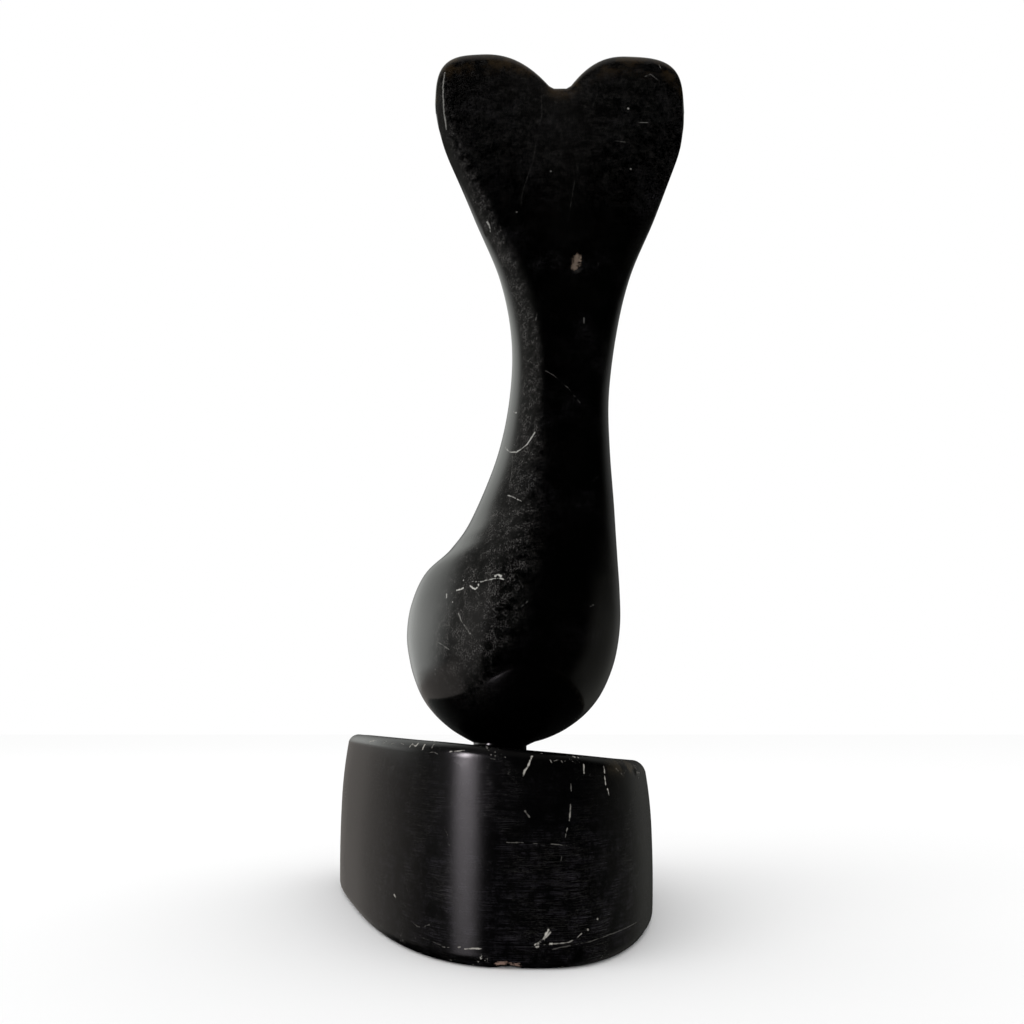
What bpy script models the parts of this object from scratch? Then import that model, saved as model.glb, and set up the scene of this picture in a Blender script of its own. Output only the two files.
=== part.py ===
"""A whale carved in black soapstone, head down and tail up, standing on an oval stone base.

Metres, +Z up, +X to the right of someone facing the flukes. The origin is the centre of the
base's underside. The whale and the base are two stones, and the whale rests on the base.
"""

import math
from typing import NamedTuple

import bmesh
import bpy
import numpy as np

# Driving dimensions of the base
BASE_WIDTH = 0.0876
BASE_DEPTH = 0.1270
BASE_HEIGHT = 0.0419
TOP_FALL_TO_THE_RIGHT_DEGREES = 5.2
TOP_FALL_TO_THE_BACK_DEGREES = 1.5
TOP_INSET = 0.0014
FOOT_INSET = 0.0010
UPPER_RIM_RADIUS = 0.0030
LOWER_EDGE_RADIUS = 0.0022

# Proportions of the base's outline and sides
FRONT_LEFT_ROUNDNESS = 3.3
FRONT_RIGHT_ROUNDNESS = 2.25
BACK_ROUNDNESS = 2.4
PLAN_WIDENING_TO_THE_BACK = 0.31
PLAN_TURN = 0.17
WIDEST_LEVEL = 0.56

# Driving dimensions of the whale
WHALE_HEIGHT = 0.2583
WHALE_FORWARD = 0.0060
WHALE_TO_THE_RIGHT = 0.0008
SEAT_GAP = 0.0003
FOOT_HEIGHT = 0.0005

# How finely the solids are faceted
BASE_SIDES = 64
BASE_LEVELS = 7
RIM_SEGMENTS = 4
WHALE_SIDES = 44
ROWS_PER_SPAN = 3
EDGE_ROWS = 5

# Outline of the flukes' top edge, across from -1 at the left to +1 at the right
LEFT_LOBE_CENTRE = -0.64
RIGHT_LOBE_CENTRE = 0.56
SIDE_LEVEL = 0.913
NOTCH_LEVEL = 0.930
RIGHT_LOBE_LEVEL = 0.995
CORNER_ROUNDNESS = 3.4
INNER_STEEPNESS = 2.4
NOTCH_HALF_WIDTH = 0.07
SPREAD_START = 0.60
EDGE_ROUNDING_START = 0.972

# Bulge of the head's left side: where it stands on each section, and how narrow it is
BULGE_ANGLE_DEGREES = 168.0
BULGE_SHARPNESS = 3.0


class Section(NamedTuple):
    """One level section through the whale. All but turn and fullness are shares of its height.

    level: height above the foot, before the flukes' top edge bends it
    left, right: the section's sides, measured along X from the foot's middle
    front, back: its faces on the section's middle line, measured along Y
    turn: how far the section runs back for each step to the left
    fullness: 2 for an ellipse, more for a squarer section
    bulge: how far the head's left side stands out
    """

    level: float
    left: float
    right: float
    front: float
    back: float
    turn: float
    fullness: float
    bulge: float = 0.0


FOOT = Section(0.0, -0.030, 0.030, -0.034, 0.034, 0.0, 2.2)
FOOT_FILLET = Section(0.0043, -0.031, 0.038, -0.036, 0.036, 0.0, 2.1)
HEAD = (
    Section(0.0090, -0.0401, 0.0541, -0.0451, 0.0451, 0.02, 2.0),
    Section(0.0184, -0.0562, 0.0742, -0.0642, 0.0642, 0.06, 2.0),
    Section(0.0334, -0.0732, 0.0953, -0.0842, 0.0892, 0.13, 2.0, 0.0020),
    Section(0.0514, -0.0872, 0.1113, -0.1013, 0.1083, 0.20, 2.0, 0.0040),
    Section(0.0725, -0.0963, 0.1223, -0.1138, 0.1223, 0.27, 2.0, 0.0070),
    Section(0.0973, -0.1023, 0.1304, -0.1223, 0.1334, 0.32, 2.0, 0.0105),
    Section(0.1301, -0.1003, 0.1354, -0.1283, 0.1414, 0.36, 2.0, 0.0195),
    Section(0.1680, -0.0922, 0.1364, -0.1283, 0.1394, 0.36, 2.0, 0.0240),
    Section(0.2044, -0.0772, 0.1364, -0.1223, 0.1293, 0.33, 2.0, 0.0225),
)
BODY_AND_TAIL_STOCK = (
    Section(0.2293, -0.0612, 0.1364, -0.1163, 0.1193, 0.30, 2.0, 0.0055),
    Section(0.2674, -0.0381, 0.1364, -0.1073, 0.1063, 0.24, 2.0),
    Section(0.3461, -0.007, 0.1354, -0.0912, 0.0872, 0.14, 2.0),
    Section(0.4294, 0.010, 0.1384, -0.0772, 0.0732, 0.06, 2.1),
    Section(0.5163, 0.012, 0.1514, -0.0652, 0.0612, 0.02, 2.1),
)
FLUKES = (
    Section(0.6075, -0.004, 0.1745, -0.0521, 0.0491, 0.0, 2.1),
    Section(0.7108, -0.0401, 0.2136, -0.0381, 0.0401, 0.0, 2.2),
    Section(0.8344, -0.0782, 0.2517, -0.0261, 0.0341, 0.0, 2.3),
    Section(0.9118, -0.0933, 0.2647, -0.0191, 0.0331, 0.0, 2.4),
    Section(EDGE_ROUNDING_START, -0.1003, 0.2697, -0.014, 0.0341, 0.0, 2.5),
)
TIPS = Section(1.0, -0.1013, 0.2697, -0.012, 0.0341, 0.0, 2.5)

WHALE_COLOUR = (0.012, 0.0125, 0.012, 1.0)
BASE_COLOUR = (0.011, 0.0105, 0.012, 1.0)
POLISHED_ROUGHNESS = 0.16
RUBBED_ROUGHNESS = 0.24


def clear_scene():
    """Removes whatever objects the scene starts with."""
    for thing in list(bpy.data.objects):
        bpy.data.objects.remove(thing, do_unlink=True)


def new_collection(name):
    """Makes a collection and links it to the scene."""
    collection = bpy.data.collections.new(name)
    bpy.context.scene.collection.children.link(collection)
    return collection


def stone_material(name, colour, roughness):
    """Makes a polished stone material."""
    material = bpy.data.materials.new(name)
    material.use_nodes = True
    shader = material.node_tree.nodes["Principled BSDF"]
    shader.inputs["Base Color"].default_value = colour
    shader.inputs["Roughness"].default_value = roughness
    shader.inputs["Metallic"].default_value = 0.0
    return material


def top_fall(x, y):
    """How far the base's top falls from its middle to a place x to the right and y to the back."""
    to_the_right = math.tan(math.radians(TOP_FALL_TO_THE_RIGHT_DEGREES))
    to_the_back = math.tan(math.radians(TOP_FALL_TO_THE_BACK_DEGREES))
    return to_the_right * x + to_the_back * y


def signed_power(values, power):
    """Raises the size of each value to a power and keeps its sign."""
    return np.sign(values) * np.abs(values) ** power


def base_outline(inset):
    """Plan of the base, an oval that widens and runs left towards the back, drawn in by an inset."""
    angles = np.linspace(0.0, 2.0 * math.pi, BASE_SIDES, endpoint=False)
    front = np.where(np.cos(angles) < 0.0, FRONT_LEFT_ROUNDNESS, FRONT_RIGHT_ROUNDNESS)
    roundness = np.where(np.sin(angles) < 0.0, front, BACK_ROUNDNESS)
    along = signed_power(np.sin(angles), 2.0 / roundness)
    across = signed_power(np.cos(angles), 2.0 / roundness)
    y = (BASE_DEPTH / 2.0 - inset) * along
    half_width = (BASE_WIDTH / 2.0 - inset) * (1.0 + PLAN_WIDENING_TO_THE_BACK * along)
    x = half_width * across - PLAN_TURN * y
    return x, y


def side_inset(share):
    """How far the base's side stands in from its widest line at a share of its height."""
    if share < WIDEST_LEVEL:
        return FOOT_INSET * (1.0 - share / WIDEST_LEVEL) ** 2
    return TOP_INSET * ((share - WIDEST_LEVEL) / (1.0 - WIDEST_LEVEL)) ** 2


def base_rings():
    """Rings up the base's side, each a level share of the height under the sloping top."""
    rings = []
    for share in np.linspace(0.0, 1.0, BASE_LEVELS):
        x, y = base_outline(side_inset(share))
        z = share * (BASE_HEIGHT - top_fall(x, y))
        rings.append(np.stack([x, y, z], axis=1))
    return rings


def smooth_through(values):
    """Reads a smooth curve through the values, at even steps between each pair."""
    slopes = np.gradient(values)
    steps = np.arange(ROWS_PER_SPAN) / ROWS_PER_SPAN
    t = steps[None, :]
    start, end = values[:-1, None], values[1:, None]
    start_slope, end_slope = slopes[:-1, None], slopes[1:, None]
    curve = (
        start * (2 * t**3 - 3 * t**2 + 1)
        + start_slope * (t**3 - 2 * t**2 + t)
        + end * (3 * t**2 - 2 * t**3)
        + end_slope * (t**3 - t**2)
    )
    return np.append(curve.ravel(), values[-1])


def whale_rows():
    """The whale's sections from the foot to the tips, with the rows between them filled in."""
    foot_top = FOOT._replace(level=FOOT_HEIGHT / WHALE_HEIGHT)
    carving = np.array([foot_top, FOOT_FILLET, *HEAD, *BODY_AND_TAIL_STOCK, *FLUKES])
    body = np.stack([smooth_through(column) for column in carving.T], axis=1)
    quarter_turn = np.linspace(0.0, 0.5 * math.pi, EDGE_ROWS + 1)[1:]
    edge = body[-1] + (np.array(TIPS) - body[-1]) * np.sin(quarter_turn)[:, None]
    return np.concatenate([np.array([FOOT]), body, edge])


def lobe_height(across, centre, peak):
    """Top edge of one fluke: a rounded outer corner and an inner side that falls to the notch."""
    outward = np.sign(centre) * (across - centre)
    corner = np.clip(outward / (1.0 - abs(centre)), 0.0, 1.0)
    fall = 1.0 - (1.0 - corner**CORNER_ROUNDNESS) ** (1.0 / CORNER_ROUNDNESS)
    inner_run = abs(centre) - NOTCH_HALF_WIDTH
    inner = np.clip(-outward / inner_run, 0.0, 1.0)
    return peak - (peak - SIDE_LEVEL) * fall - (peak - NOTCH_LEVEL) * inner**INNER_STEEPNESS


def top_edge(across):
    """Level of the flukes' heart-shaped top edge at a place across them."""
    left = lobe_height(across, LEFT_LOBE_CENTRE, 1.0)
    right = lobe_height(across, RIGHT_LOBE_CENTRE, RIGHT_LOBE_LEVEL)
    return np.where(across < 0.0, left, right)


def whale_ring(row):
    """One closed ring of the whale's surface, as points round a turned oval."""
    level, left, right, front, back, turn, fullness, bulge = row
    angles = np.linspace(0.0, 2.0 * math.pi, WHALE_SIDES, endpoint=False)
    across = signed_power(np.cos(angles), 2.0 / fullness)
    depth = signed_power(np.sin(angles), 2.0 / fullness)
    aside = 0.5 * (right - left) * across
    facing = np.maximum(0.0, np.cos(angles - math.radians(BULGE_ANGLE_DEGREES)))
    push = bulge * facing**BULGE_SHARPNESS
    x = 0.5 * (left + right) + aside - push
    rounding = max(0.0, (level - EDGE_ROUNDING_START) / (1.0 - EDGE_ROUNDING_START))
    thickness = (back - front) * math.sqrt(max(0.0, 1.0 - rounding**2))
    y = 0.5 * (front + back) + 0.5 * thickness * depth - turn * (aside - push)
    spread = max(0.0, (level - SPREAD_START) / (1.0 - SPREAD_START)) ** 2
    seat_share = max(0.0, 1.0 - level / FOOT_FILLET.level)
    z = level + (top_edge(across) - 1.0) * spread - top_fall(x, y) * seat_share
    return WHALE_HEIGHT * np.stack([x, y, z], axis=1)


def loft(name, rings, seam_at_top=False):
    """Joins closed rings by quads. The first ring is capped, and the last is capped or closed as a seam."""
    shape = bmesh.new()
    sides = len(rings[0])
    rows = [[shape.verts.new(point) for point in ring] for ring in rings[:-1]]
    if seam_at_top:
        half = [shape.verts.new(point) for point in rings[-1][: sides // 2 + 1]]
        rows.append([half[min(k, sides - k)] for k in range(sides)])
    else:
        rows.append([shape.verts.new(point) for point in rings[-1]])
        shape.faces.new(rows[-1])
    shape.faces.new(reversed(rows[0]))
    for low, high in zip(rows[:-1], rows[1:]):
        for k in range(sides):
            after = (k + 1) % sides
            corners = [low[k], low[after], high[after], high[k]]
            shape.faces.new(list(dict.fromkeys(corners)))
    mesh = bpy.data.meshes.new(name)
    shape.to_mesh(mesh)
    shape.free()
    mesh.shade_smooth()
    mesh.set_sharp_from_angle(angle=math.radians(40.0))
    return mesh


def add_object(name, mesh, material, collection):
    """Makes one object of a mesh, with its own material."""
    thing = bpy.data.objects.new(name, mesh)
    mesh.materials.append(material)
    collection.objects.link(thing)
    return thing


def round_rim(thing, name, first_vertex, radius):
    """Rounds the ring of edges that starts at a vertex with a Bevel modifier."""
    group = thing.vertex_groups.new(name=name)
    group.add(range(first_vertex, first_vertex + BASE_SIDES), 1.0, "REPLACE")
    bevel = thing.modifiers.new(name, "BEVEL")
    bevel.limit_method = "VGROUP"
    bevel.vertex_group = name
    bevel.width = radius
    bevel.segments = RIM_SEGMENTS


def build_base(collection):
    """The oval base with its flat underside, bellied side, sloping top and worn rims."""
    mesh = loft("base_block", base_rings())
    material = stone_material("base_stone", BASE_COLOUR, RUBBED_ROUGHNESS)
    base = add_object("base_block", mesh, material, collection)
    round_rim(base, "lower_edge", 0, LOWER_EDGE_RADIUS)
    round_rim(base, "upper_rim", BASE_SIDES * (BASE_LEVELS - 1), UPPER_RIM_RADIUS)
    return base


def build_whale(collection):
    """The whale, set down on the base's top with a small gap under its foot."""
    rings = [whale_ring(row) for row in whale_rows()]
    mesh = loft("whale", rings, seam_at_top=True)
    material = stone_material("whale_stone", WHALE_COLOUR, POLISHED_ROUGHNESS)
    whale = add_object("whale", mesh, material, collection)
    seat = BASE_HEIGHT - top_fall(WHALE_TO_THE_RIGHT, -WHALE_FORWARD)
    whale.location = (WHALE_TO_THE_RIGHT, -WHALE_FORWARD, seat + SEAT_GAP)
    return whale


def main():
    """Builds the sculpture."""
    clear_scene()
    sculpture = new_collection("soapstone_whale_sculpture")
    build_base(sculpture)
    build_whale(sculpture)


main()
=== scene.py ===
"""A whale carved in black soapstone, head down and tail up, on its oval stone base.

The CAD part gives the main forms. This scene draws the same two forms on fine grids, adds the
unevenness of hand cutting, the chips and the worn rims, and gives each stone its polish, its
clouds of paler mineral and the scratches that the photograph shows.

Metres, +Z up, +X to the right of someone facing the flukes. The origin is the centre of the
base's underside.
"""

import logging
import math
from dataclasses import dataclass
from enum import Enum
from functools import reduce
from typing import NamedTuple, Sequence

import bpy
import numpy as np
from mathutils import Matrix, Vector


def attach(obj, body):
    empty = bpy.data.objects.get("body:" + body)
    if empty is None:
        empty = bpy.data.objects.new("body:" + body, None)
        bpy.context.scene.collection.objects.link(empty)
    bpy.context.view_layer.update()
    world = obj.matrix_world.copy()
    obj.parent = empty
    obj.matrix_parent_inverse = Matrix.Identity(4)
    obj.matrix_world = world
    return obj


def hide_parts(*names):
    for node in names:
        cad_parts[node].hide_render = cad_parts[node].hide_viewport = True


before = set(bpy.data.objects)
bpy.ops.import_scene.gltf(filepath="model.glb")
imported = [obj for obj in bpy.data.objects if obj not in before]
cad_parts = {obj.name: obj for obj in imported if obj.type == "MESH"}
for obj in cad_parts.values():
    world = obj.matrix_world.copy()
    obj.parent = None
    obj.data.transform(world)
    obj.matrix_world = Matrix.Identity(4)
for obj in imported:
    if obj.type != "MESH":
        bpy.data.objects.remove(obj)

MILLIMETRE = 0.001
WORN_EDGE = "worn_edge"
# Marks the warm colour: a real stain on the base's right rim, and a painted glow of light through the
# whale's thin fluke edge.
STAIN_AND_GLOW = "stain_and_glow"
# Marks a painted sheen of pale speckle down the whale's left front, and real wear on the flukes and the
# base.
SHEEN_AND_WEAR = "sheen_and_wear"
REFRACTION_OF_STONE = 1.55
RELIEF_DEPTH = 0.00001
WANDERING = 0.0004
HAIRLINES = {"Thinness": 90.0, "Coverage": 0.50}
CRUMBS = {"Crumb_Size": 0.0009, "Amount": -0.07}

log = logging.getLogger("soapstone_whale")

Array = np.ndarray
Colour = tuple[float, float, float, float]
Place = tuple[float, float, float]
Socket = bpy.types.NodeSocket
Sockets = bpy.types.bpy_prop_collection


# Forms


class Ending(Enum):
    """How the last row of a closed surface comes together."""

    POLE = "at one point"
    SEAM = "front joined to back along a line"


class Section(NamedTuple):
    """One level section through the whale. All but turn and fullness are shares of its height.

    level: height above the foot, before the flukes' top edge bends it
    left, right: the section's sides, measured along X from the foot's middle
    front, back: its faces on the section's middle line, measured along Y
    turn: how far the section runs back for each step to the left
    fullness: 2 for an ellipse, more for a squarer section
    bulge: how far the head's left side stands out
    """

    level: float
    left: float
    right: float
    front: float
    back: float
    turn: float
    fullness: float
    bulge: float = 0.0


class Chip(NamedTuple):
    """A shallow place where a flake has left the stone.

    centre: its middle in millimetres in the row frame
    radius: half its size in millimetres along X, Y and Z
    depth: how deep it is in millimetres
    """

    centre: Place
    radius: Place
    depth: float


class Mark(NamedTuple):
    """A line or spot where the polish is bruised to pale powder.

    width: its full width in millimetres
    whiteness: how pale it is, from 0 to 1
    points: the places that it runs through, in millimetres in the row frame
    """

    width: float
    whiteness: float
    points: Sequence[Place]


def marks(*rows: tuple[float | Place, ...]) -> tuple[Mark, ...]:
    """Reads marks that are written as a width, a whiteness and then the places."""
    return tuple(Mark(width, whiteness, points) for width, whiteness, *points in rows)


def signed_power(values: Array, power: Array | float) -> Array:
    """Raises the size of each value to a power and keeps its sign."""
    return np.sign(values) * np.abs(values) ** power


def smooth_step(values: Array, start: float, end: float) -> Array:
    """Runs smoothly from 0 at start to 1 at end, as three t squared less two t cubed."""
    t = np.clip((values - start) / (end - start), 0.0, 1.0)
    return t * t * (3.0 - 2.0 * t)


def curve_at(values: Array, places: Array) -> Array:
    """Reads a smooth curve through rows of values at any places along them.

    Between two rows each column is a cubic that meets both rows with the slopes of their
    neighbours.

    Args:
        values: one row for each station of the curve.
        places: where to read it, counted in rows from the first.

    Returns:
        One row for each place.
    """
    slopes = np.gradient(values, axis=0)
    first = np.clip(np.floor(places).astype(int), 0, len(values) - 2)
    t = (places - first)[:, None]
    start, end = values[first], values[first + 1]
    return (
        start * (2 * t**3 - 3 * t**2 + 1)
        + slopes[first] * (t**3 - 2 * t**2 + t)
        + end * (3 * t**2 - 2 * t**3)
        + slopes[first + 1] * (t**3 - t**2)
    )


def even_places(path: Array, count: int) -> Array:
    """Places along a path, counted in its own steps, that are evenly spaced in length.

    Args:
        path: points along the path, one to a row.
        count: how many places to give, the two ends among them.

    Returns:
        Places from 0 to the number of steps.
    """
    steps = np.linalg.norm(np.diff(path, axis=0), axis=1)
    reach = np.concatenate([[0.0], np.cumsum(steps)])
    return np.interp(np.linspace(0.0, reach[-1], count), reach, np.arange(len(path)))


def outward_normals(rows: Array) -> Array:
    """Unit normals of a closed grid: the step round the ring crossed with the step up the rows.

    Args:
        rows: grid of points.

    Returns:
        One normal for each point.
    """
    around = np.roll(rows, -1, axis=1) - np.roll(rows, 1, axis=1)
    up = np.gradient(rows, axis=0)
    normals = np.cross(around, up)
    size = np.linalg.norm(normals, axis=2, keepdims=True)
    return normals / np.maximum(size, 1e-12)


def hand_cut_waves(rows: Array, wavelength: float, seed: int) -> Array:
    """Slow unevenness of hand cutting, from -1 to 1.

    It is the mean of six sine waves that run in different directions through the stone, each
    with its own length and start.

    Args:
        rows: grid of points.
        wavelength: middle length of the waves in metres.
        seed: picks the directions, lengths and starts.

    Returns:
        One value for each point.
    """
    chance = np.random.default_rng(seed)
    ways = chance.normal(size=(6, 3))
    ways /= np.linalg.norm(ways, axis=1, keepdims=True)
    lengths = wavelength * chance.uniform(0.6, 1.6, size=6)
    starts = chance.uniform(0.0, 2.0 * math.pi, size=6)
    phases = rows @ (ways / lengths[:, None]).T * 2.0 * math.pi + starts
    return np.sin(phases).mean(axis=2)


def chip_depths(rows: Array, chips: Sequence[Chip]) -> Array:
    """Depth in metres that the chips take from each point of a grid.

    A chip is a shallow bowl: its depth times one less the square of the distance from its
    centre, which is measured in its own radii.

    Args:
        rows: grid of points.
        chips: the chips, of which the deepest counts at each point.

    Returns:
        One depth for each point.
    """
    depth = np.zeros(rows.shape[:2])
    for chip in chips:
        away = (rows - np.array(chip.centre) * MILLIMETRE) / (np.array(chip.radius) * MILLIMETRE)
        bowl = np.clip(1.0 - (away**2).sum(axis=2), 0.0, 1.0)
        depth = np.maximum(depth, chip.depth * MILLIMETRE * bowl**0.8)
    return depth


def hand_cut(rows: Array, depth: Array, wavelength: float, seed: int, chips: Sequence[Chip]) -> Array:
    """Takes wavy cutting of a middle depth, and the chips, off a surface along its normals."""
    cut = depth - depth * hand_cut_waves(rows, wavelength, seed) + chip_depths(rows, chips)
    return rows - outward_normals(rows) * cut[:, :, None]


def closed_surface(name: str, rows: Array, ending: Ending) -> bpy.types.Mesh:
    """Joins closed rings of points into one watertight mesh with smooth shading.

    The first ring is closed by a fan to its middle. The last ring is closed by a fan too, or
    its front half is joined to its back half along a seam.

    Args:
        name: name of the mesh.
        rows: points as rings, sides and coordinates, with the rings counter-clockwise from above.
        ending: how the last ring is closed.

    Returns:
        The mesh.
    """
    count, sides = rows.shape[:2]
    side = np.arange(sides)
    index = np.arange(count * sides).reshape(count, sides)
    points = rows.reshape(-1, 3)
    if ending is Ending.SEAM:
        index[-1] = (count - 1) * sides + np.minimum(side, sides - side)
        points = points[: (count - 1) * sides + sides // 2 + 1]
    first_middle, last_middle = len(points), len(points) + 1
    points = np.concatenate([points, [rows[0].mean(axis=0)]])
    ahead = np.roll(index, -1, axis=1)
    quads = np.stack([index[:-1], ahead[:-1], ahead[1:], index[1:]], axis=2).reshape(-1, 4)
    lower_fan = np.stack([ahead[0], index[0], np.full(sides, first_middle)], axis=1)
    faces = quads.tolist() + lower_fan.tolist()
    if ending is Ending.POLE:
        points = np.concatenate([points, [rows[-1].mean(axis=0)]])
        upper_fan = np.stack([index[-1], ahead[-1], np.full(sides, last_middle)], axis=1)
        faces += upper_fan.tolist()
    mesh = bpy.data.meshes.new(name)
    mesh.from_pydata(points.tolist(), [], faces)
    mesh.update()
    mesh.shade_smooth()
    return mesh


def add_values(mesh: bpy.types.Mesh, name: str, values: Array) -> None:
    """Stores one number for each vertex, for the materials to read.

    Args:
        mesh: mesh made by closed_surface.
        name: name of the attribute.
        values: one value for each point of the rows that made the mesh.
    """
    flat = values.reshape(-1)
    kept = np.full(len(mesh.vertices), flat[0], dtype=float)
    shared = min(len(flat), len(kept))
    kept[:shared] = flat[:shared]
    attribute = mesh.attributes.new(name, "FLOAT", "POINT")
    attribute.data.foreach_set("value", kept)


def add_piece(name: str, mesh: bpy.types.Mesh, material: bpy.types.Material) -> bpy.types.Object:
    """Puts a mesh into the scene as one object with one material.

    Args:
        name: name of the piece.
        mesh: its mesh.
        material: its material.

    Returns:
        The piece.
    """
    piece = bpy.data.objects.new(name, mesh)
    mesh.materials.append(material)
    bpy.context.scene.collection.objects.link(piece)
    return piece


# Node graphs


class Graph:
    """Adds nodes to a node tree and joins them, so that a finish reads as a list of steps."""

    def __init__(self, tree: bpy.types.NodeTree) -> None:
        """Keeps the tree that the nodes go into."""
        self.tree = tree

    def feed(self, socket: Socket, source: object) -> None:
        """Joins a socket to another, or gives it a plain value, or leaves it for None.

        Args:
            socket: the input.
            source: the output that feeds it, or its value.
        """
        if isinstance(source, bpy.types.NodeSocket):
            self.tree.links.new(source, socket)
        elif source is not None:
            socket.default_value = source

    def add(self, kind: str, *sources: object, **settings: object) -> bpy.types.Node:
        """Adds one node.

        Args:
            kind: type of the node.
            sources: what feeds its inputs, in their order.
            settings: its named properties.

        Returns:
            The node.
        """
        node = self.tree.nodes.new(kind)
        for name, value in settings.items():
            setattr(node, name, value)
        for socket, source in zip(node.inputs, sources):
            self.feed(socket, source)
        return node

    def math(self, operation: str, *sources: object, clamp: bool = False) -> Socket:
        """One step of arithmetic on numbers."""
        return self.add("ShaderNodeMath", *sources, operation=operation, use_clamp=clamp).outputs[0]

    def total(self, *sources: object) -> Socket:
        """Sum of several numbers."""
        return reduce(lambda whole, source: self.math("ADD", whole, source), sources)

    def times(self, *sources: object) -> Socket:
        """Product of several numbers."""
        return reduce(lambda whole, source: self.math("MULTIPLY", whole, source), sources)

    def apart(self, first: object, second: object) -> Socket:
        """How far two numbers are apart."""
        return self.math("ABSOLUTE", self.math("SUBTRACT", first, second))

    def vector(self, operation: str, *sources: object) -> Socket:
        """One step of arithmetic on vectors. Lengths and dot products come out as numbers."""
        node = self.add("ShaderNodeVectorMath", *sources, operation=operation)
        return node.outputs["Value" if operation in ("LENGTH", "DOT_PRODUCT") else "Vector"]

    def scaled(self, vector: object, scale: object) -> Socket:
        """A vector times a number."""
        return self.vector("SCALE", vector, None, None, scale)

    def parts(self, vector: Socket) -> Sockets:
        """The three parts of a vector."""
        return self.add("ShaderNodeSeparateXYZ", vector).outputs

    def ramp(
        self, value: Socket, start: object, end: object, low: float = 0.0, high: object = 1.0
    ) -> Socket:
        """Runs smoothly from low to high as the value goes from start to end."""
        settings = {"interpolation_type": "SMOOTHSTEP", "clamp": True}
        return self.add("ShaderNodeMapRange", value, start, end, low, high, **settings).outputs[0]

    def noise(self, vector: Socket, scale: object, detail: float, roughness: float) -> Socket:
        """Soft random cloud, from 0 to 1."""
        return self.add("ShaderNodeTexNoise", vector, None, scale, detail, roughness).outputs[0]

    def stretched(self, vector: Socket, scale: Place, turn: Place = (0.0, 0.0, 0.0)) -> Socket:
        """Places a pattern at its own scale along each axis, after a turn in degrees."""
        radians = tuple(math.radians(a) for a in turn)
        return self.add("ShaderNodeMapping", vector, None, radians, scale, vector_type="POINT").outputs[0]

    def blend(self, share: object, first: object, second: object) -> Socket:
        """Mixes two colours. The inputs between the share and the colours are of other kinds."""
        sources = (share, *[None] * 5, first, second)
        return self.add("ShaderNodeMix", *sources, data_type="RGBA", clamp_factor=True).outputs[2]

    def attribute(self, name: str) -> Socket:
        """A number stored on the mesh."""
        node = self.add("ShaderNodeAttribute", attribute_type="GEOMETRY", attribute_name=name)
        return node.outputs["Fac"]

    def shared(self, group: bpy.types.NodeTree, **values: object) -> Sockets:
        """Places a shared effect.

        Args:
            group: its node group.
            values: what feeds its inputs, with the spaces in their names written as underscores.

        Returns:
            Its outputs.
        """
        node = self.add("ShaderNodeGroup", node_tree=group)
        for name, source in values.items():
            self.feed(node.inputs[name.replace("_", " ")], source)
        return node.outputs


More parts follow.
